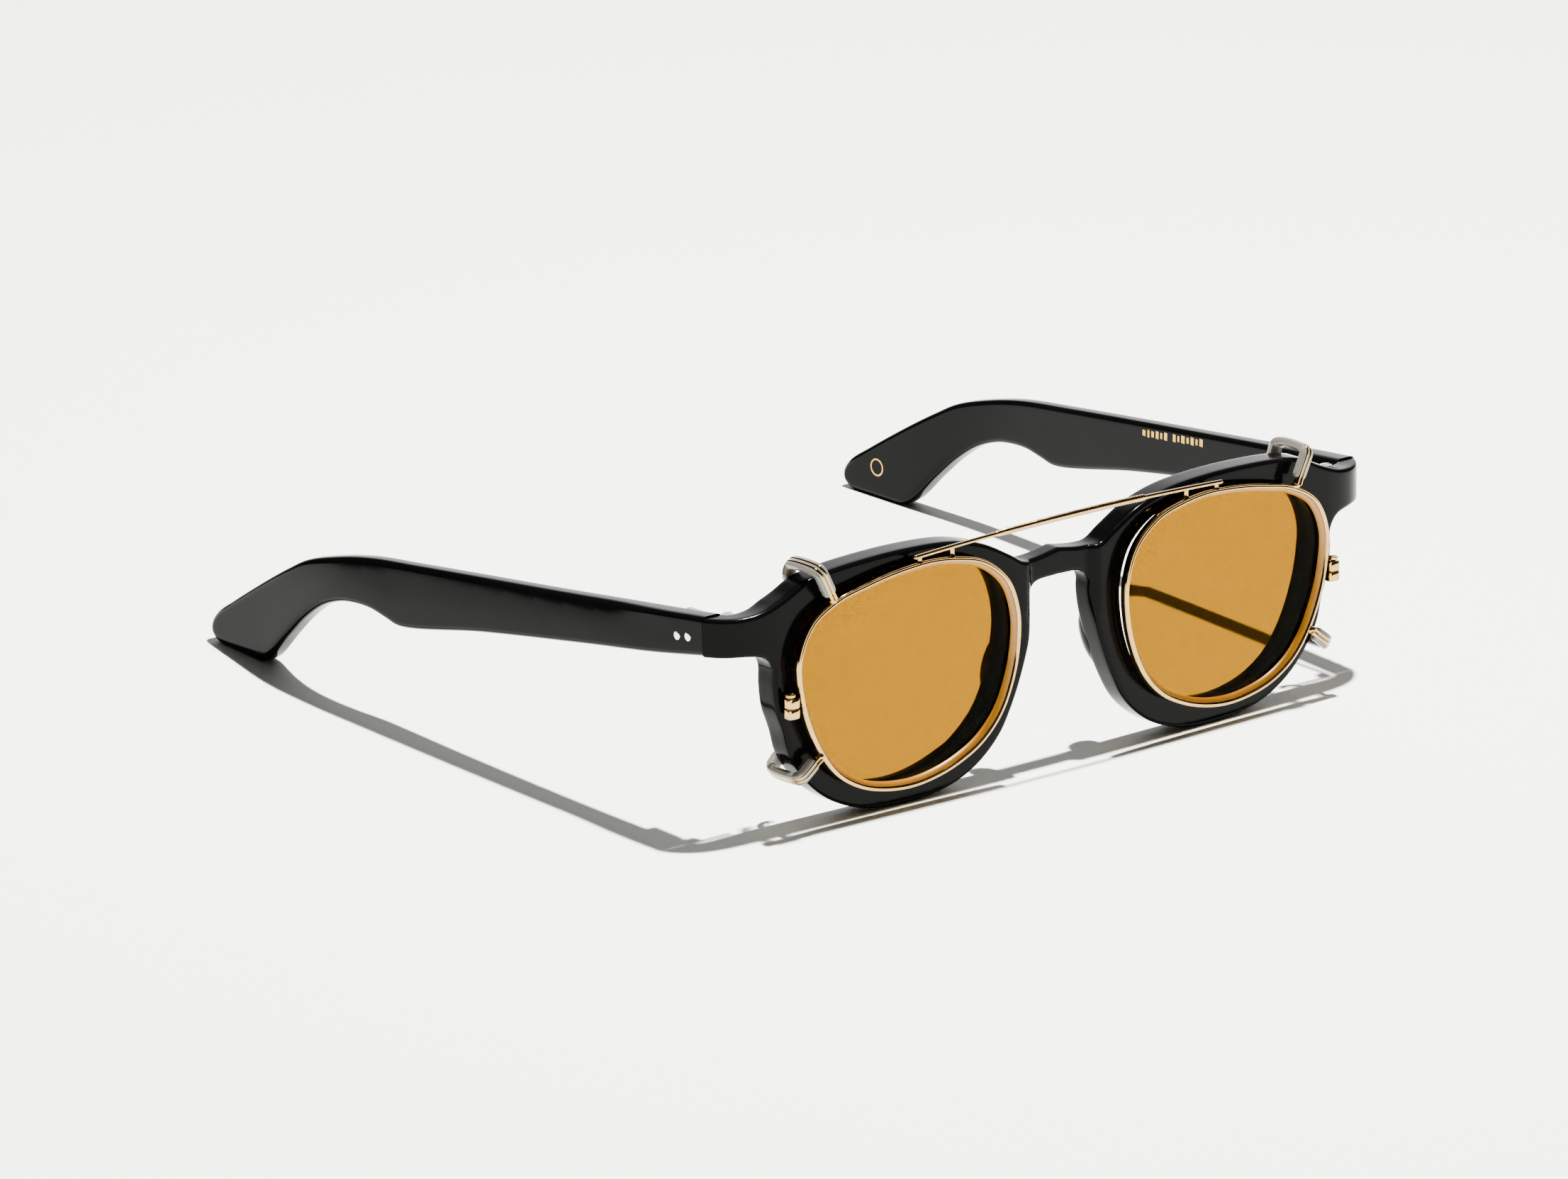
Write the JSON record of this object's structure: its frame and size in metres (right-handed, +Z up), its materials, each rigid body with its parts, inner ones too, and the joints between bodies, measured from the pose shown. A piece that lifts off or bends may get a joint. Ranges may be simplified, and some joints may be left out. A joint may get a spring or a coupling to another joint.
{
  "type": "clip-on sunglasses on spectacles",
  "caption": "Black acetate spectacles with folding temples and a gold-rimmed amber clip-on held to the front by sprung claws and a top bar.",
  "frame": {"origin": "centre of the overall box, on the table the spectacles rest on with the temples open", "axes": "+X towards the wearer's left, +Y from the front to the temple tips, +Z up"},
  "size_m": [0.1526, 0.1448, 0.0469],
  "materials": {
    "acetate": "polished black acetate",
    "gold_metal": "pale champagne gold plating, satin polish",
    "steel": "plain steel screw and core wire",
    "amber_lens": "clear amber tint, smooth",
    "clear_lens": "clear, anti-reflection",
    "silicone": "translucent clear silicone"
  },
  "bodies": {
    "frame": {"frame_front": "acetate", "nose_pad_left": "acetate", "clear_lens_left": "clear_lens", "hinge_front_left": "gold_metal", "hinge_screw_left": "steel", "nose_pad_right": "acetate", "clear_lens_right": "clear_lens", "hinge_front_right": "gold_metal", "hinge_screw_right": "steel"},
    "temple_arm_left": {"temple_left": "acetate", "temple_core_left": "steel", "hinge_temple_left": "gold_metal", "temple_rivet_front_left": "gold_metal", "temple_rivet_rear_left": "gold_metal"},
    "temple_arm_right": {"temple_right": "acetate", "temple_core_right": "steel", "hinge_temple_right": "gold_metal", "temple_rivet_front_right": "gold_metal", "temple_rivet_rear_right": "gold_metal"},
    "clip_on": {"clip_bar": "gold_metal", "clip_rim_left": "gold_metal", "clip_lens_left": "amber_lens", "bar_foot_outer_left": "gold_metal", "bar_foot_inner_left": "gold_metal", "claw_upper_left": "gold_metal", "claw_lower_left": "gold_metal", "claw_sleeve_upper_left": "silicone", "claw_sleeve_lower_left": "silicone", "closing_block_upper_left": "gold_metal", "closing_block_lower_left": "gold_metal", "block_screw_left": "steel", "clip_rim_right": "gold_metal", "clip_lens_right": "amber_lens", "bar_foot_outer_right": "gold_metal", "bar_foot_inner_right": "gold_metal", "claw_upper_right": "gold_metal", "claw_lower_right": "gold_metal", "claw_sleeve_upper_right": "silicone", "claw_sleeve_lower_right": "silicone", "closing_block_upper_right": "gold_metal", "closing_block_lower_right": "gold_metal", "block_screw_right": "steel"}
  },
  "joints": [
    {"name": "temple_left_fold", "type": "hinge", "parent": "frame", "child": "temple_arm_left", "pos_m": [0.0671, -0.06082, 0.03478], "axis": [0, 0.0359, 0.9994], "range_deg": [0, 90]},
    {"name": "temple_right_fold", "type": "hinge", "parent": "frame", "child": "temple_arm_right", "pos_m": [-0.0671, -0.06082, 0.03478], "axis": [0, -0.0359, -0.9994], "range_deg": [0, 81]},
    {"name": "clip_pull_off", "type": "slide", "parent": "frame", "child": "clip_on", "axis": [0, -0.9994, 0.0359], "range_m": [0, 0.02], "deforming": ["claw_upper_left", "claw_upper_right", "claw_lower_left", "claw_lower_right", "claw_sleeve_upper_left", "claw_sleeve_upper_right", "claw_sleeve_lower_left", "claw_sleeve_lower_right"]}
  ]
}
